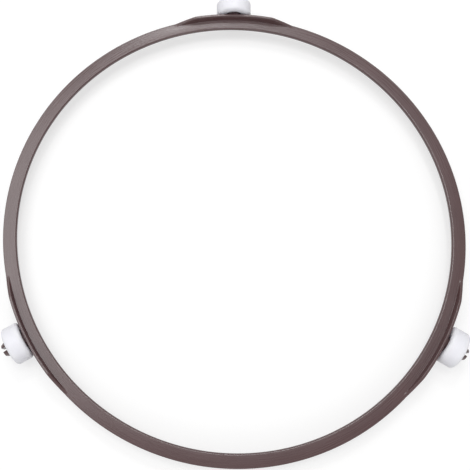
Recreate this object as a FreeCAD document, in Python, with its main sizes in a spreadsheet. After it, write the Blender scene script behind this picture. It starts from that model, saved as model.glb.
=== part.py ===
import FreeCAD, Part
import os

import Sketcher

# Roller ring that carries the turning glass tray of a microwave oven.
# One moulded ring has three upstanding ears, and each ear has a thrust boss and a split snap axle.
# Three loose rollers snap over the axles and turn freely on them.
# Millimetres, +Z up. The origin is on the ring's axis, level with the floor under the rollers.
# The first ear stands at +Y, and the others follow round the ring.

# Driving dimensions: name, size, meaning.
SIZES = (
    ("ring_diameter", 190.0, "outside of the ring"),
    ("band_width", 5.5, "flat band, outside edge to inside edge"),
    ("band_thickness", 1.7, "flat band"),
    ("wall_thickness", 1.4, "outer wall under the band"),
    ("wall_depth", 5.1, "outer wall, from the top of the band down"),
    ("lip_radius", 0.7, "rounding of the band's inner top edge"),
    ("ear_height", 3.1, "ear, above the band"),
    ("ear_top_thickness", 1.05, "ear at its top, thinned by the draft of its inner face"),
    ("ear_length_angle", 31.8, "ear, from end to end round the ring, in degrees"),
    ("ear_flat_angle", 20.8, "level top of the ear between its two ramps, in degrees"),
    ("axle_drop", 0.5, "axle's centre line, below the top of the band"),
    ("boss_diameter", 6.4, "thrust boss round the foot of the axle"),
    ("boss_root", 0.3, "depth that the boss and axle are rooted in the wall"),
    ("axle_diameter", 5.2, "split axle"),
    ("axle_slot", 1.5, "upright slot that splits the axle into two prongs"),
    ("slot_root", 1.0, "solid foot of the axle, boss face to the end of the slot"),
    ("barb", 0.6, "snap head, beyond the axle's side"),
    ("barb_land", 0.45, "straight side of the snap head"),
    ("head_length", 2.3, "snap head, shoulder to tip"),
    ("tip_taper", 0.35, "tip of the snap head, inside the axle's side"),
    ("roller_gap", 0.4, "roller's inner face, out from the ring's outside"),
    ("roller_diameter", 15.2, "roller tread"),
    ("roller_width", 6.8, "roller, face to face"),
    ("roller_edge", 1.2, "tread's two edges, eased round in two steps"),
    ("recess_diameter", 9.2, "recess in the roller's inner face, which takes the boss"),
    ("recess_depth", 1.6, "recess in the roller's inner face"),
    ("bore_lead_in", 0.25, "chamfer where the axle enters the bore"),
    ("bore_clearance", 0.08, "running gap round the axle"),
    ("end_clearance", 0.15, "gap at each end of the roller"),
)

ROLLER_NAMES = ("roller_rear", "roller_left", "roller_right")
RING_NAME = "support_ring"
TURN = 360.0
FIND_TOLERANCE = 1e-6

# Places that several features share, as expressions of the driving dimensions.
OUTER_RADIUS = "Sizes.ring_diameter / 2"
INNER_RADIUS = "(Sizes.ring_diameter / 2 - Sizes.band_width)"
WALL_RADIUS = "(Sizes.ring_diameter / 2 - Sizes.wall_thickness)"
AXLE_HEIGHT = "Sizes.roller_diameter / 2"
BAND_TOP = "(Sizes.roller_diameter / 2 + Sizes.axle_drop)"
BAND_BASE = f"({BAND_TOP} - Sizes.band_thickness)"
WALL_BASE = f"({BAND_TOP} - Sizes.wall_depth)"
EAR_TOP = f"({BAND_TOP} + Sizes.ear_height)"
EAR_END_X = f"{OUTER_RADIUS} * sin(Sizes.ear_length_angle * 0.5 deg)"
EAR_FLAT_X = f"{OUTER_RADIUS} * sin(Sizes.ear_flat_angle * 0.5 deg)"
ROLLER_INNER = f"({OUTER_RADIUS} + Sizes.roller_gap)"
ROLLER_OUTER = f"({ROLLER_INNER} + Sizes.roller_width)"
RECESS_FLOOR = f"({ROLLER_INNER} + Sizes.recess_depth)"
BOSS_FACE = f"({RECESS_FLOOR} - Sizes.end_clearance)"
HEAD_SHOULDER = f"({ROLLER_OUTER} + Sizes.end_clearance)"
HEAD_TIP = f"({HEAD_SHOULDER} + Sizes.head_length)"
AXLE_RADIUS = "Sizes.axle_diameter / 2"
BORE_RADIUS = f"({AXLE_RADIUS} + Sizes.bore_clearance)"

doc = FreeCAD.newDocument("roller_ring")


def make_sheet():
    """Spreadsheet of the driving dimensions, one named cell for each."""
    sheet = doc.addObject("Spreadsheet::Sheet", "Sizes")
    for row, (name, size, meaning) in enumerate(SIZES, start=1):
        sheet.set(f"A{row}", name)
        sheet.set(f"B{row}", str(size))
        sheet.set(f"C{row}", meaning)
        sheet.setAlias(f"B{row}", name)
    doc.recompute()
    return sheet


def number(expression):
    """Present value of an expression."""
    return float(sizes.evalExpression(expression))


def origin_feature(body, role):
    """One of a body's own origin planes or axes."""
    for feature in body.Origin.OriginFeatures:
        if feature.Role == role:
            return feature
    raise LookupError(role)


def new_sketch(body, name, plane):
    """Empty sketch on one of the body's origin planes."""
    sketch = body.newObject("Sketcher::SketchObject", name)
    sketch.AttachmentSupport = (origin_feature(body, plane), [""])
    sketch.MapMode = "FlatFace"
    return sketch


def pin_point(sketch, geometry, end, place):
    """Hold one end of a sketch line at a place given as two expressions."""
    for kind, expression in zip(("DistanceX", "DistanceY"), place):
        held = Sketcher.Constraint(kind, -1, 1, geometry, end, number(expression))
        index = sketch.addConstraint(held)
        sketch.setExpression(f"Constraints[{index}]", expression)


def add_outline(sketch, places):
    """Closed outline of straight lines through places given as pairs of expressions."""
    corners = [FreeCAD.Vector(number(across), number(up), 0) for across, up in places]
    lines = []
    for start, finish in zip(corners, corners[1:] + corners[:1]):
        lines.append(sketch.addGeometry(Part.LineSegment(start, finish), False))
    for line, following in zip(lines, lines[1:] + lines[:1]):
        sketch.addConstraint(Sketcher.Constraint("Coincident", line, 2, following, 1))
    for line, place in zip(lines, places):
        pin_point(sketch, line, 1, place)


def add_axle_line(sketch):
    """Construction line along the axle's centre, which a profile turns about."""
    places = (("0", AXLE_HEIGHT), (OUTER_RADIUS, AXLE_HEIGHT))
    ends = [FreeCAD.Vector(number(across), number(up), 0) for across, up in places]
    line = sketch.addGeometry(Part.LineSegment(*ends), True)
    for end, place in enumerate(places, start=1):
        pin_point(sketch, line, end, place)


def from_axle(radius):
    """Height of a point at a radius above the axle's centre line."""
    return f"{AXLE_HEIGHT} + {radius}"


def revolve(body, name, sketch, axis, angle=None):
    """Turn a sketch about one of its axes, a full turn or an angle centred on the sketch."""
    feature = body.newObject("PartDesign::Revolution", name)
    feature.Profile = (sketch, [""])
    feature.ReferenceAxis = (sketch, [axis])
    feature.Angle = TURN
    if angle:
        feature.Midplane = True
        feature.setExpression("Angle", angle)
    doc.recompute()
    return feature


def circle_edge(feature, radius, height):
    """A feature and the name of its one circular edge about Z at a radius and height."""
    names = []
    for index, edge in enumerate(feature.Shape.Edges, start=1):
        if not isinstance(edge.Curve, Part.Circle):
            continue
        misses = (edge.Curve.Radius - number(radius), edge.Curve.Center.z - number(height))
        if max(map(abs, misses)) < FIND_TOLERANCE:
            names.append(f"Edge{index}")
    if len(names) != 1:
        raise ValueError(f"{feature.Name}: {len(names)} edges found, 1 wanted")
    return (feature, names)


def round_edge(body, name, edge, radius):
    """Fillet one edge of the body's last feature."""
    fillet = body.newObject("PartDesign::Fillet", name)
    fillet.Base = edge
    fillet.setExpression("Radius", radius)
    doc.recompute()


def pocket(body, name, sketch, upwards=False):
    """Cut a sketch right through the body and check that material went."""
    before = body.Tip.Shape.Volume
    cut = body.newObject("PartDesign::Pocket", name)
    cut.Profile = (sketch, [""])
    cut.Type = "ThroughAll"
    cut.Reversed = upwards
    doc.recompute()
    if not cut.Shape.Volume < before:
        raise ValueError(f"{name} cuts nothing")
    return cut


def band_and_wall(body):
    """The ring's angle section, a flat band with a wall under its outside, turned about Z."""
    sketch = new_sketch(body, "RingSection", "XZ_Plane")
    add_outline(sketch, (
        (OUTER_RADIUS, BAND_TOP),
        (INNER_RADIUS, BAND_TOP),
        (INNER_RADIUS, BAND_BASE),
        (WALL_RADIUS, BAND_BASE),
        (WALL_RADIUS, WALL_BASE),
        (OUTER_RADIUS, WALL_BASE),
    ))
    ring = revolve(body, "BandAndWall", sketch, "V_Axis")
    round_edge(body, "LipRounding", circle_edge(ring, INNER_RADIUS, BAND_TOP), "Sizes.lip_radius")


def ear(body):
    """Upstanding piece of wall over the first axle, thinned by draft, with a ramp at each end."""
    section = new_sketch(body, "EarSection", "YZ_Plane")
    add_outline(section, (
        (OUTER_RADIUS, BAND_BASE),
        (OUTER_RADIUS, EAR_TOP),
        (f"{OUTER_RADIUS} - Sizes.ear_top_thickness", EAR_TOP),
        (WALL_RADIUS, BAND_TOP),
        (WALL_RADIUS, BAND_BASE),
    ))
    wall = revolve(body, "Ear", section, "V_Axis", "Sizes.ear_length_angle")
    ramps = new_sketch(body, "RampCuts", "XZ_Plane")
    above = f"{EAR_TOP} + Sizes.ear_height"
    for side in ("", "-"):
        add_outline(ramps, (
            (f"{side}({EAR_FLAT_X})", EAR_TOP),
            (f"{side}({EAR_END_X})", BAND_TOP),
            (f"{side}({EAR_END_X} + Sizes.ear_height)", BAND_TOP),
            (f"{side}({EAR_END_X} + Sizes.ear_height)", above),
            (f"{side}({EAR_FLAT_X})", above),
        ))
    return [wall, pocket(body, "Ramps", ramps)]


def split_axle(body):
    """Boss, axle and barbed head turned as one about the axle's line, then slotted into two prongs."""
    profile = new_sketch(body, "AxleProfile", "YZ_Plane")
    root = f"{OUTER_RADIUS} - Sizes.boss_root"
    head = from_axle(f"{AXLE_RADIUS} + Sizes.barb")
    add_axle_line(profile)
    add_outline(profile, (
        (root, AXLE_HEIGHT),
        (root, from_axle("Sizes.boss_diameter / 2")),
        (BOSS_FACE, from_axle("Sizes.boss_diameter / 2")),
        (BOSS_FACE, from_axle(AXLE_RADIUS)),
        (HEAD_SHOULDER, from_axle(AXLE_RADIUS)),
        (HEAD_SHOULDER, head),
        (f"{HEAD_SHOULDER} + Sizes.barb_land", head),
        (HEAD_TIP, from_axle(f"{AXLE_RADIUS} - Sizes.tip_taper")),
        (HEAD_TIP, AXLE_HEIGHT),
    ))
    axle = revolve(body, "BossAndAxle", profile, "Axis0")
    slot = new_sketch(body, "AxleSlot", "XY_Plane")
    half = "Sizes.axle_slot / 2"
    slot_end = f"{BOSS_FACE} + Sizes.slot_root"
    past_tip = f"{HEAD_TIP} + Sizes.head_length"
    add_outline(slot, (
        (half, slot_end),
        (half, past_tip),
        (f"-{half}", past_tip),
        (f"-{half}", slot_end),
    ))
    return [axle, pocket(body, "Slot", slot, upwards=True)]


def support_ring():
    """The moulded ring: band and wall, then ear, boss and split axle repeated round it."""
    body = doc.addObject("PartDesign::Body", RING_NAME)
    band_and_wall(body)
    station = ear(body) + split_axle(body)
    pattern = body.newObject("PartDesign::PolarPattern", "Stations")
    pattern.Originals = station
    pattern.Axis = (origin_feature(body, "Z_Axis"), [""])
    pattern.Angle = TURN
    pattern.Occurrences = len(ROLLER_NAMES)
    body.Tip = pattern
    doc.recompute()
    return body


def roller(name, turn):
    """One roller, turned on the first axle's line and then carried round the ring."""
    body = doc.addObject("PartDesign::Body", name)
    tread = from_axle("Sizes.roller_diameter / 2")
    edge = "Sizes.roller_edge"
    step = "Sizes.roller_edge * (1 - cos(45 deg))"
    profile = new_sketch(body, "RollerProfile", "YZ_Plane")
    add_axle_line(profile)
    add_outline(profile, (
        (RECESS_FLOOR, from_axle(f"{BORE_RADIUS} + Sizes.bore_lead_in")),
        (RECESS_FLOOR, from_axle("Sizes.recess_diameter / 2")),
        (ROLLER_INNER, from_axle("Sizes.recess_diameter / 2")),
        (ROLLER_INNER, f"{tread} - {edge}"),
        (f"{ROLLER_INNER} + {step}", f"{tread} - {step}"),
        (f"{ROLLER_INNER} + {edge}", tread),
        (f"{ROLLER_OUTER} - {edge}", tread),
        (f"{ROLLER_OUTER} - {step}", f"{tread} - {step}"),
        (ROLLER_OUTER, f"{tread} - {edge}"),
        (ROLLER_OUTER, from_axle(BORE_RADIUS)),
        (f"{RECESS_FLOOR} + Sizes.bore_lead_in", from_axle(BORE_RADIUS)),
    ))
    revolve(body, "Wheel", profile, "Axis0")
    spin = FreeCAD.Rotation(FreeCAD.Vector(0, 0, 1), turn)
    body.Placement = FreeCAD.Placement(FreeCAD.Vector(), spin)
    doc.recompute()
    return body


def check(parts):
    """Stop if any feature failed or any piece isn't one valid solid."""
    for item in doc.Objects:
        if {"Invalid", "Error"} & set(item.State):
            raise RuntimeError(f"{item.Name} failed: {item.State}")
    for part in parts:
        shape = part.Shape
        if shape.isNull() or not shape.isValid() or len(shape.Solids) != 1:
            raise RuntimeError(f"{part.Label} is not one valid solid")


sizes = make_sheet()
pieces = [support_ring()]
for place, roller_name in enumerate(ROLLER_NAMES):
    pieces.append(roller(roller_name, TURN * place / len(ROLLER_NAMES)))
check(pieces)

os.makedirs("parts", exist_ok=True)
for piece in pieces:
    piece.Shape.exportStep(f"parts/{piece.Label}.step")
    print(f"{piece.Label}: {piece.Shape.Volume:.1f} mm3")
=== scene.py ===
"""Looks for a microwave roller ring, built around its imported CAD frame.

One moulded grey ring carries three white rollers on split snap axles. The ring and the rollers
are modelled again here with smooth rounded edges, in the place and to the size of the CAD nodes.
"""

import logging
import math
from dataclasses import dataclass, field
from enum import Enum

import bmesh
import bpy
from mathutils import Euler, Matrix, Vector


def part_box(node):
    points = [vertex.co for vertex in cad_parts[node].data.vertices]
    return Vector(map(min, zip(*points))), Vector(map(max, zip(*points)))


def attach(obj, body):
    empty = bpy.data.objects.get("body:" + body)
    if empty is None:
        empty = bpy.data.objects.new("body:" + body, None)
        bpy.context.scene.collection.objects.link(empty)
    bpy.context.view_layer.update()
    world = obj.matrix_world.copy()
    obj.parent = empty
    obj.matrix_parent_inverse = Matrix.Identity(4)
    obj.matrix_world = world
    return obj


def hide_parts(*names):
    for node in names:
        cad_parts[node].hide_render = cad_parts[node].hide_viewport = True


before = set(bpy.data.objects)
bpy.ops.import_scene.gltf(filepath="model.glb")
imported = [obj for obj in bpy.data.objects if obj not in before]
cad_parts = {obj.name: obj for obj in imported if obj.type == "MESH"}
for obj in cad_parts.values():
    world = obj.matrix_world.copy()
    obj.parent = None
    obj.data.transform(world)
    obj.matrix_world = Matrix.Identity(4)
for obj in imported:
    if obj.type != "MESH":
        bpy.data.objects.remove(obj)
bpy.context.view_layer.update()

MM = 0.001
PHOTO_SIDE_PX = 470
SMOOTH_ANGLE = math.radians(32.0)
MERGE_DISTANCE = 1e-7
CORNER_SEGMENTS = 6
QUARTER_TURN = math.pi / 2.0
NOISE_ROUGHNESS = 0.6
NOISE_MIDDLE = (0.3, 0.7)
# Sockets of a Mix node that count when it mixes colours.
MIX_FIRST, MIX_SECOND, MIX_RESULT = 6, 7, 2

log = logging.getLogger("roller_ring")


class Station(Enum):
    """The three places round the ring that carry a roller, with their azimuth in degrees."""

    REAR = 90.0
    LEFT = 210.0
    RIGHT = 330.0

    @property
    def label(self) -> str:
        """Plain word for the station."""
        return self.name.lower()

    @property
    def body(self) -> str:
        """CAD body that turns at this station."""
        return f"{self.label}_roller"

    @property
    def node(self) -> str:
        """CAD node of the roller at this station."""
        return f"roller_{self.label}"

    @property
    def placing(self) -> Matrix:
        """Turn that carries a piece from the +X axis to this station."""
        return Matrix.Rotation(math.radians(self.value), 4, "Z")


class Slot(Enum):
    """Material slots of the record."""

    RING = "ring_plastic"
    ROLLER = "roller_plastic"


Colour = tuple[float, float, float, float]
Point = tuple[float, float, float]
Pair = tuple[float, float]
Input = float | Colour | Point | bpy.types.NodeSocket


class ShaderGraph:
    """A new material whose nodes are added and joined one by one."""

    def __init__(self, name: str) -> None:
        """Start an empty material with its output node.

        Args:
            name: name of the material.
        """
        self.material = bpy.data.materials.new(name)
        self.material.use_nodes = True
        self.tree = self.material.node_tree
        self.tree.nodes.clear()
        self.output = self.add("ShaderNodeOutputMaterial")

    def add(
        self, kind: str, inputs: dict[str | int, Input] | None = None, **settings: str | bool
    ) -> bpy.types.Node:
        """Add a node.

        Args:
            kind: Blender's name for the node.
            inputs: constants or sockets to join, by input name or number.
            **settings: properties of the node itself.

        Returns:
            The new node.
        """
        node = self.tree.nodes.new(kind)
        for key, value in settings.items():
            setattr(node, key, value)
        for key, value in (inputs or {}).items():
            if isinstance(value, bpy.types.NodeSocket):
                self.tree.links.new(value, node.inputs[key])
            else:
                node.inputs[key].default_value = value
        return node

    def math(self, operation: str, *values: Input) -> bpy.types.NodeSocket:
        """Add a Math node.

        Args:
            operation: what it does.
            *values: constants or sockets, in order.

        Returns:
            The result socket.
        """
        node = self.add("ShaderNodeMath", dict(enumerate(values)), operation=operation)
        return node.outputs[0]

    def noise(self, vector: bpy.types.NodeSocket, scale: float, detail: float) -> bpy.types.NodeSocket:
        """Add a Noise Texture.

        Args:
            vector: place that it reads.
            scale: waves to the metre.
            detail: octaves of finer noise.

        Returns:
            The noise, from 0 to 1.
        """
        inputs = {"Vector": vector, "Scale": scale, "Detail": detail, "Roughness": NOISE_ROUGHNESS}
        return self.add("ShaderNodeTexNoise", inputs).outputs[0]

    def spread(self, value: bpy.types.NodeSocket, low: float, high: float) -> bpy.types.NodeSocket:
        """Map the middle of a noise to a range.

        Args:
            value: noise from 0 to 1.
            low: result at the noise's low end.
            high: result at its high end.

        Returns:
            The mapped value, held inside the range.
        """
        start, end = NOISE_MIDDLE
        inputs = {"Value": value, "From Min": start, "From Max": end, "To Min": low, "To Max": high}
        return self.add("ShaderNodeMapRange", inputs, clamp=True).outputs[0]

    def blend(self, share: bpy.types.NodeSocket, first: Colour, second: Colour) -> bpy.types.NodeSocket:
        """Mix two colours.

        Args:
            share: how much of the second.
            first: colour at 0.
            second: colour at 1.

        Returns:
            The mixed colour.
        """
        mix = self.add("ShaderNodeMix", data_type="RGBA")
        mix.inputs[MIX_FIRST].default_value = first
        mix.inputs[MIX_SECOND].default_value = second
        self.tree.links.new(share, mix.inputs["Factor"])
        return mix.outputs[MIX_RESULT]

    def bump(self, height: bpy.types.NodeSocket, strength: float, depth: float) -> bpy.types.NodeSocket:
        """Add a Bump node.

        Args:
            height: height from 0 to 1.
            strength: share of the effect.
            depth: real depth of the relief, in metres.

        Returns:
            The bent normal.
        """
        inputs = {"Height": height, "Strength": strength, "Distance": depth}
        return self.add("ShaderNodeBump", inputs).outputs[0]

    def surface(self, shader: bpy.types.Node) -> bpy.types.Material:
        """Join the finished shader to the output.

        Args:
            shader: node whose first output is the surface.

        Returns:
            The material.
        """
        self.tree.links.new(shader.outputs[0], self.output.inputs["Surface"])
        return self.material


@dataclass(frozen=True)
class RingPlastic:
    """Warm grey moulded plastic, satin, with cloudy colour, fine grain and scuffs along the ring."""

    name: str = "warm_grey_plastic"
    deep: Colour = (0.073, 0.034, 0.035, 1.0)
    pale: Colour = (0.090, 0.044, 0.045, 1.0)
    sheen: float = 0.82
    roughness: Pair = (0.24, 0.32)
    clouds_per_metre: float = 70.0
    cloud_detail: float = 4.0
    cloud_share: float = 0.8
    scuffs_per_metre: float = 1500.0
    scuff_detail: float = 3.0
    scuff_share: float = 0.2
    scuff_stretch: float = 0.04
    unrolled_radius: float = 100.0 * MM
    grain_per_metre: float = 3600.0
    grain_detail: float = 2.0
    grain_strength: float = 0.35
    grain_depth: float = 0.02 * MM

    def material(self) -> bpy.types.Material:
        """Build the finish.

        Returns:
            The material.
        """
        graph = ShaderGraph(self.name)
        place = graph.add("ShaderNodeTexCoord").outputs["Object"]
        axes = graph.add("ShaderNodeSeparateXYZ", {0: place}).outputs
        across = graph.math("MULTIPLY", axes[0], axes[0])
        along = graph.math("MULTIPLY", axes[1], axes[1])
        radius = graph.math("SQRT", graph.math("ADD", across, along))
        turn = graph.math("ARCTAN2", axes[1], axes[0])
        arc = graph.math("MULTIPLY", turn, self.scuff_stretch * self.unrolled_radius)
        unrolled = graph.add("ShaderNodeCombineXYZ", {0: arc, 1: radius, 2: axes[2]}).outputs[0]
        clouds = graph.noise(place, self.clouds_per_metre, self.cloud_detail)
        scuffs = graph.noise(unrolled, self.scuffs_per_metre, self.scuff_detail)
        grain = graph.noise(place, self.grain_per_metre, self.grain_detail)
        cloudy = graph.spread(clouds, 0.0, self.cloud_share)
        tone = graph.math("ADD", cloudy, graph.spread(scuffs, 0.0, self.scuff_share))
        relief = graph.bump(grain, self.grain_strength, self.grain_depth)
        shader = graph.add("ShaderNodeBsdfPrincipled", {
            "Base Color": graph.blend(tone, self.deep, self.pale),
            "Roughness": graph.spread(scuffs, *self.roughness),
            "Specular IOR Level": self.sheen,
            "Normal": relief,
        })
        return graph.surface(shader)


@dataclass(frozen=True)
class RollerPlastic:
    """White slippery plastic with faint running marks round the tread."""

    name: str = "white_roller_plastic"
    clean: Colour = (0.88, 0.877, 0.965, 1.0)
    worn: Colour = (0.82, 0.817, 0.90, 1.0)
    roughness: Pair = (0.44, 0.56)
    sheen: float = 0.5
    streaks_per_metre: float = 1800.0
    streak_detail: float = 3.0
    streak_share: float = 0.5
    grain_per_metre: float = 2600.0
    grain_detail: float = 2.0
    grain_strength: float = 0.25
    grain_depth: float = 0.012 * MM
    glow: float = 0.8
    glow_spread: Point = (1.0, 1.0, 1.0)
    glow_depth: float = 4.0 * MM

    def material(self, station: Station, axle_height: float) -> bpy.types.Material:
        """Build the finish for one roller, with its marks turned to that roller's axle.

        Args:
            station: where the roller is.
            axle_height: height of the axle's centre line, in metres.

        Returns:
            The material.
        """
        graph = ShaderGraph(f"{self.name}_{station.label}")
        place = graph.add("ShaderNodeTexCoord").outputs["Object"]
        turned = graph.add("ShaderNodeMapping", {
            "Vector": place,
            "Location": (0.0, 0.0, -axle_height),
            "Rotation": (0.0, 0.0, -math.radians(station.value)),
        }).outputs[0]
        axes = graph.add("ShaderNodeSeparateXYZ", {0: turned}).outputs
        across = graph.math("MULTIPLY", axes[1], axes[1])
        up = graph.math("MULTIPLY", axes[2], axes[2])
        radius = graph.math("SQRT", graph.math("ADD", across, up))
        rings = graph.add("ShaderNodeCombineXYZ", {0: axes[0], 1: radius}).outputs[0]
        streaks = graph.noise(rings, self.streaks_per_metre, self.streak_detail)
        grain = graph.noise(place, self.grain_per_metre, self.grain_detail)
        wear = graph.spread(streaks, 0.0, self.streak_share)
        shader = graph.add("ShaderNodeBsdfPrincipled", {
            "Base Color": graph.blend(wear, self.clean, self.worn),
            "Roughness": graph.spread(grain, *self.roughness),
            "Specular IOR Level": self.sheen,
            "Subsurface Weight": self.glow,
            "Subsurface Radius": self.glow_spread,
            "Subsurface Scale": self.glow_depth,
            "Normal": graph.bump(grain, self.grain_strength, self.grain_depth),
        })
        return graph.surface(shader)


@dataclass(frozen=True)
class FloorPaint:
    """Plain white floor that shows the part's soft shadow."""

    name: str = "white_floor"
    colour: Colour = (0.45, 0.45, 0.45, 1.0)
    glow: float = 0.58

    def material(self) -> bpy.types.Material:
        """Build the finish.

        Returns:
            The material.
        """
        graph = ShaderGraph(self.name)
        rays = graph.add("ShaderNodeLightPath").outputs
        seen = graph.math("MAXIMUM", rays["Is Camera Ray"], rays["Is Glossy Ray"])
        seen = graph.math("MAXIMUM", seen, rays["Is Transmission Ray"])
        glow = graph.add("ShaderNodeEmission", {"Strength": graph.math("MULTIPLY", seen, self.glow)})
        paint = graph.add("ShaderNodeBsdfDiffuse", {"Color": self.colour})
        both = graph.add("ShaderNodeAddShader", {0: paint.outputs[0], 1: glow.outputs[0]})
        return graph.surface(both)


def rounded_loop(corners: list[Point], placing: Matrix) -> bmesh.types.BMesh:
    """Closed loop of edges through corners, each rounded to its own radius.

    Args:
        corners: two coordinates in millimetres and the rounding radius of each corner.
        placing: where the loop's plane goes.

    Returns:
        A bmesh that holds only the loop.
    """
    bm = bmesh.new()
    points = [bm.verts.new((across * MM, up * MM, 0.0)) for across, up, _ in corners]
    bm.faces.new(points)
    by_radius: dict[float, list[bmesh.types.BMVert]] = {}
    for point, (_, _, radius) in zip(points, corners):
        by_radius.setdefault(radius, []).append(point)
    for radius, rounded in by_radius.items():
        if radius > 0.0:
            bmesh.ops.bevel(
                bm, geom=rounded, offset=radius * MM, offset_type="OFFSET",
                segments=CORNER_SEGMENTS, profile=0.5, affect="VERTICES", material=-1,
            )
    bmesh.ops.delete(bm, geom=bm.faces[:], context="FACES_ONLY")
    bmesh.ops.transform(bm, matrix=placing, verts=bm.verts)
    return bm


def spin_loop(bm: bmesh.types.BMesh, centre: Vector, axis: Vector, steps: int) -> None:
    """Turn a loop through a full circle into a closed skin.

    Args:
        bm: bmesh that holds the loop.
        centre: point on the axis.
        axis: direction of the axis.
        steps: facets round the circle.
    """
    bmesh.ops.spin(
        bm, geom=bm.verts[:] + bm.edges[:], cent=centre, axis=axis, dvec=(0.0, 0.0, 0.0),
        angle=math.tau, steps=steps, use_merge=True, use_normal_flip=False, use_duplicate=False,
    )
    bmesh.ops.remove_doubles(bm, verts=bm.verts[:], dist=MERGE_DISTANCE)
    bmesh.ops.recalc_face_normals(bm, faces=bm.faces[:])


def as_object(bm: bmesh.types.BMesh, name: str) -> bpy.types.Object:
    """Put a bmesh in a new object at the origin.

    Args:
        bm: bmesh, which is freed.
        name: name of the object.

    Returns:
        The object.
    """
    mesh = bpy.data.meshes.new(name)
    bm.to_mesh(mesh)
    bm.free()
    obj = bpy.data.objects.new(name, mesh)
    bpy.context.scene.collection.objects.link(obj)
    return obj


def shade(obj: bpy.types.Object) -> None:
    """Shade an object smooth, with its sharper edges kept crisp."""
    obj.data.polygons.foreach_set("use_smooth", [True] * len(obj.data.polygons))
    obj.data.set_sharp_from_angle(angle=SMOOTH_ANGLE)


def apply_modifiers(obj: bpy.types.Object) -> None:
    """Replace an object's mesh by what its modifiers make of it.

    Args:
        obj: object whose modifiers are used up.
    """
    graph = bpy.context.evaluated_depsgraph_get()
    graph.update()
    finished = bpy.data.meshes.new_from_object(obj.evaluated_get(graph))
    obj.modifiers.clear()
    obj.data = finished


def combine(obj: bpy.types.Object, other: bpy.types.Object, operation: str) -> None:
    """Join or cut one object by another, which is used up.

    Args:
        obj: object that changes.
        other: object that is joined to it or taken from it.
        operation: UNION or DIFFERENCE.
    """
    modifier = obj.modifiers.new("combine", "BOOLEAN")
    modifier.operation = operation
    modifier.solver = "EXACT"
    modifier.object = other
    apply_modifiers(obj)
    bpy.data.objects.remove(other)


@dataclass
class SnapAxle:
    """Thrust boss, axle and barbed head, split into two prongs. Millimetres."""

    ring_radius: float
    axle_height: float
    boss_radius: float = 3.2
    boss_face: float = 1.85
    root: float = 0.3
    radius: float = 2.6
    slot: float = 1.5
    slot_start: float = 2.85
    head_start: float = 7.35
    head_radius: float = 3.2
    head_land: float = 0.45
    head_length: float = 2.3
    tip_radius: float = 2.25
    edge: float = 0.12
    cutter_height: float = 12.8
    steps: int = 72

    def build(self, station: Station) -> bpy.types.Object:
        """Turn the axle with softened edges, and cut its slot.

        Args:
            station: where it stands.

        Returns:
            The axle in its place.
        """
        out = self.ring_radius
        tip = out + self.head_start + self.head_length
        corners = [
            (out - self.root, 0.0, 0.0),
            (out - self.root, self.boss_radius, 0.0),
            (out + self.boss_face, self.boss_radius, self.edge),
            (out + self.boss_face, self.radius, self.edge),
            (out + self.head_start, self.radius, self.edge),
            (out + self.head_start, self.head_radius, self.edge),
            (out + self.head_start + self.head_land, self.head_radius, self.edge),
            (tip, self.tip_radius, self.edge),
            (tip, 0.0, 0.0),
        ]
        lift = Matrix.Translation((0.0, 0.0, self.axle_height * MM))
        # Half a facet round, so that no corner of the axle meets a corner of the ring.
        upright = Matrix.Rotation(QUARTER_TURN + math.pi / self.steps, 4, "X")
        bm = rounded_loop(corners, lift @ upright)
        spin_loop(bm, Vector((0.0, 0.0, self.axle_height * MM)), Vector((1.0, 0.0, 0.0)), self.steps)
        axle = as_object(bm, f"{station.label}_axle")
        combine(axle, self.slot_block(), "DIFFERENCE")
        axle.data.transform(station.placing)
        return axle

    def slot_block(self) -> bpy.types.Object:
        """Block that cuts the slot.

        Returns:
            The block.
        """
        bm = bmesh.new()
        length = self.head_start + self.head_length
        size = Vector((length, self.slot, self.cutter_height)) * MM
        bmesh.ops.create_cube(bm, size=1.0)
        bmesh.ops.scale(bm, vec=size, verts=bm.verts)
        start = (self.ring_radius + self.slot_start) * MM
        bmesh.ops.translate(bm, vec=(start + size.x / 2.0, 0.0, self.axle_height * MM), verts=bm.verts)
        return as_object(bm, "slot_block")


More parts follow.
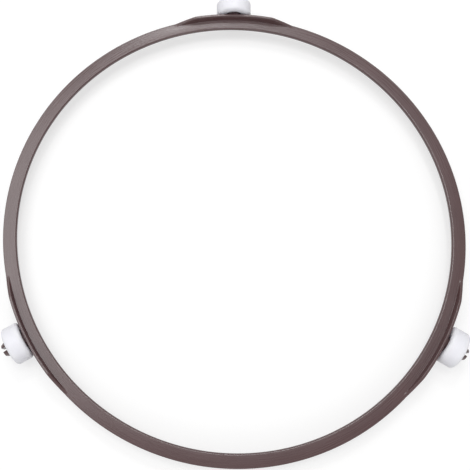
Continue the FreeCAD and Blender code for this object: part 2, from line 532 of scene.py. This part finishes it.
@dataclass
class RingMoulding:
    """The grey ring: band, wall, three ears and their axles, as one moulding.

    Sizes are in millimetres, and the ears' lengths round the ring in degrees.
    """

    radius: float
    axle_height: float
    finish: RingPlastic = field(default_factory=RingPlastic)
    band_width: float = 5.5
    band_thickness: float = 1.7
    band_above_axle: float = 0.5
    wall_thickness: float = 1.4
    wall_depth: float = 5.1
    lip_radius: float = 0.7
    edge_radius: float = 0.4
    corner_radius: float = 0.5
    ear_height: float = 3.1
    ear_top_thickness: float = 1.05
    ear_edge: float = 0.25
    ear_foot: float = 0.1
    ear_length: float = 31.8
    ear_flat: float = 20.8
    edge_slack: float = 0.0025
    steps: int = 720

    @property
    def band_top(self) -> float:
        """Height of the band's top."""
        return self.axle_height + self.band_above_axle

    def build(self) -> bpy.types.Object:
        """Model the moulding and dress it.

        Returns:
            The finished piece.
        """
        ring = as_object(self.skin(), "ring_moulding")
        for station in Station:
            axle = SnapAxle(self.radius, self.axle_height).build(station)
            combine(ring, axle, "UNION")
        shade(ring)
        ring.data.materials.clear()
        ring.data.materials.append(self.finish.material())
        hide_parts("support_ring")
        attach(ring, "ring")
        return ring

    def skin(self) -> bmesh.types.BMesh:
        """Band, wall and ears as one closed skin.

        Returns:
            The skin.
        """
        top = self.band_top
        inside = self.radius - self.band_width
        wall = self.radius - self.wall_thickness
        base = top - self.band_thickness
        foot = top - self.wall_depth
        crest = top + self.ear_height
        corners = [
            (self.radius, foot, self.edge_radius),
            (self.radius, crest, self.ear_edge),
            (self.radius - self.ear_top_thickness, crest, self.ear_edge),
            (wall, top, self.ear_foot),
            (inside, top, self.lip_radius),
            (inside, base, self.edge_radius),
            (wall, base, self.corner_radius),
            (wall, foot, self.edge_radius),
        ]
        bm = rounded_loop(corners, Matrix.Rotation(QUARTER_TURN, 4, "X"))
        spin_loop(bm, Vector(), Vector((0.0, 0.0, 1.0)), self.steps)
        for point in bm.verts:
            self.sink(point)
        bmesh.ops.recalc_face_normals(bm, faces=bm.faces[:])
        return bm

    def ear_share(self, point: Vector) -> float:
        """How much of the ear's height stands at a place round the ring.

        Args:
            point: place in metres.

        Returns:
            1 on an ear's level top, 0 between the ears.
        """
        azimuth = math.degrees(math.atan2(point.y, point.x))
        aside = min(abs((azimuth - s.value + 180.0) % 360.0 - 180.0) for s in Station)
        across = math.sin(math.radians(aside))
        end = math.sin(math.radians(self.ear_length / 2.0))
        flat = math.sin(math.radians(self.ear_flat / 2.0))
        return min(1.0, max(0.0, (end - across) / (end - flat)))

    def sink(self, point: bmesh.types.BMVert) -> None:
        """Lower one point of the ear's section to the ear's height at its place.

        Args:
            point: point of the skin.
        """
        above = point.co.z / MM - self.band_top
        if above <= 0.0:
            return
        share = self.ear_share(point.co)
        reach = point.co.xy.length / MM
        if reach > self.radius - self.ear_edge - self.edge_slack:
            point.co.z -= self.ear_height * (1.0 - share) * MM
        else:
            point.co.z = (self.band_top + above * share) * MM


@dataclass
class Roller:
    """One white roller. Millimetres, along the axle from the ring's axis."""

    station: Station
    inner_face: float
    width: float
    radius: float
    axle_height: float
    finish: RollerPlastic = field(default_factory=RollerPlastic)
    bore_radius: float = 2.68
    recess_radius: float = 4.6
    recess_depth: float = 1.6
    lead_in: float = 0.25
    tread_edge: float = 1.2
    bore_edge: float = 0.1
    steps: int = 128

    def build(self) -> bpy.types.Object:
        """Turn the roller and dress it.

        Returns:
            The finished piece.
        """
        outer_face = self.inner_face + self.width
        recess_floor = self.inner_face + self.recess_depth
        corners = [
            (recess_floor, self.bore_radius + self.lead_in, self.bore_edge),
            (recess_floor, self.recess_radius, self.bore_edge),
            (self.inner_face, self.recess_radius, self.bore_edge),
            (self.inner_face, self.radius, self.tread_edge),
            (outer_face, self.radius, self.tread_edge),
            (outer_face, self.bore_radius, self.bore_edge),
            (recess_floor + self.lead_in, self.bore_radius, self.bore_edge),
        ]
        lift = Matrix.Translation((0.0, 0.0, self.axle_height * MM))
        bm = rounded_loop(corners, lift @ Matrix.Rotation(QUARTER_TURN, 4, "X"))
        spin_loop(bm, Vector((0.0, 0.0, self.axle_height * MM)), Vector((1.0, 0.0, 0.0)), self.steps)
        bmesh.ops.transform(bm, matrix=self.station.placing, verts=bm.verts)
        wheel = as_object(bm, f"{self.station.label}_roller_wheel")
        shade(wheel)
        wheel.data.materials.append(self.finish.material(self.station, self.axle_height * MM))
        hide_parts(self.station.node)
        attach(wheel, self.station.body)
        return wheel


@dataclass(frozen=True)
class Lamp:
    """One soft square studio lamp, aimed at the part. Metres and watts."""

    name: str
    place: Point
    side: float
    power: float

    def build(self) -> bpy.types.Object:
        """Hang the lamp.

        Returns:
            The lamp.
        """
        light = bpy.data.lights.new(self.name, "AREA")
        light.shape = "SQUARE"
        light.size = self.side
        light.energy = self.power
        lamp = bpy.data.objects.new(self.name, light)
        lamp.location = self.place
        lamp.rotation_euler = (-Vector(self.place)).to_track_quat("-Z", "Y").to_euler()
        bpy.context.scene.collection.objects.link(lamp)
        return lamp


@dataclass
class Studio:
    """White floor, soft lamps above the part, a low one in front, and pale surroundings."""

    paint: FloorPaint = field(default_factory=FloorPaint)
    floor_side: float = 6.0
    lamps: tuple[Lamp, ...] = (
        Lamp("key_lamp", (-0.36, 0.18, 0.90), 0.54, 2.4),
        Lamp("rear_lamp", (-0.01, 0.61, 0.90), 0.16, 1.2),
        Lamp("side_lamp", (-0.42, 0.86, 0.80), 0.4, 0.7),
        Lamp("overhead_lamp", (0.06, 0.20, 0.95), 0.16, 0.85),
        Lamp("fill_lamp", (0.32, 0.55, 0.85), 0.5, 0.3),
        Lamp("front_lamp", (0.15, -1.0, 0.55), 0.8, 2.2),
    )
    sky: Colour = (1.0, 1.0, 1.0, 1.0)
    sky_strength: float = 0.55

    def build(self) -> None:
        """Lay the floor, hang the lamps and set the surroundings."""
        bm = bmesh.new()
        bmesh.ops.create_grid(bm, x_segments=1, y_segments=1, size=self.floor_side / 2.0)
        floor = as_object(bm, "floor")
        floor.data.materials.append(self.paint.material())
        for lamp in self.lamps:
            lamp.build()
        world = bpy.data.worlds.new("pale_surroundings")
        world.use_nodes = True
        background = world.node_tree.nodes["Background"]
        background.inputs["Color"].default_value = self.sky
        background.inputs["Strength"].default_value = self.sky_strength
        bpy.context.scene.world = world


@dataclass
class PhotoCamera:
    """Camera at the photograph's place, almost straight above the ring. Millimetres and degrees.

    The photograph is a crop, so its middle is a little off the lens's axis.
    """

    place: Point = (-16.84, -66.62, 276.38)
    turn: Point = (15.13, -0.639, 0.469)
    focal_px: float = 671.6
    crop_px: Pair = (34.99, -26.19)
    sensor: float = 36.0
    nearest: float = 10.0

    def build(self) -> bpy.types.Object:
        """Set up the camera.

        Returns:
            The camera.
        """
        lens = bpy.data.cameras.new("photo_camera")
        lens.sensor_fit = "HORIZONTAL"
        lens.sensor_width = self.sensor
        lens.lens = self.focal_px / PHOTO_SIDE_PX * self.sensor
        lens.shift_x, lens.shift_y = (offset / PHOTO_SIDE_PX for offset in self.crop_px)
        lens.clip_start = self.nearest * MM
        camera = bpy.data.objects.new("photo_camera", lens)
        camera.location = Vector(self.place) * MM
        camera.rotation_euler = Euler([math.radians(angle) for angle in self.turn])
        bpy.context.scene.collection.objects.link(camera)
        bpy.context.scene.camera = camera
        return camera


def roller_at(station: Station) -> Roller:
    """Roller with its size taken from the rear CAD node, which lies along Y; all three are alike.

    Args:
        station: where the roller is.

    Returns:
        The roller, not yet built.
    """
    low, high = (Vector(corner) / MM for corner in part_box(Station.REAR.node))
    radius = (high.z - low.z) / 2.0
    return Roller(station, low.y, high.y - low.y, radius, (high.z + low.z) / 2.0)


def main() -> None:
    """Build the ring, its rollers and the studio, and report each piece."""
    logging.basicConfig(level=logging.INFO, format="%(name)s: %(message)s")
    bpy.context.scene.view_settings.view_transform = "Standard"
    low, high = (Vector(corner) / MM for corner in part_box("support_ring"))
    rollers = [roller_at(station) for station in Station]
    pieces = [RingMoulding((high.x - low.x) / 2.0, rollers[0].axle_height).build()]
    pieces += [roller.build() for roller in rollers]
    for piece in pieces:
        log.info("%s has %d faces", piece.name, len(piece.data.polygons))
    Studio().build()
    PhotoCamera().build()


if __name__ == "__main__":
    main()
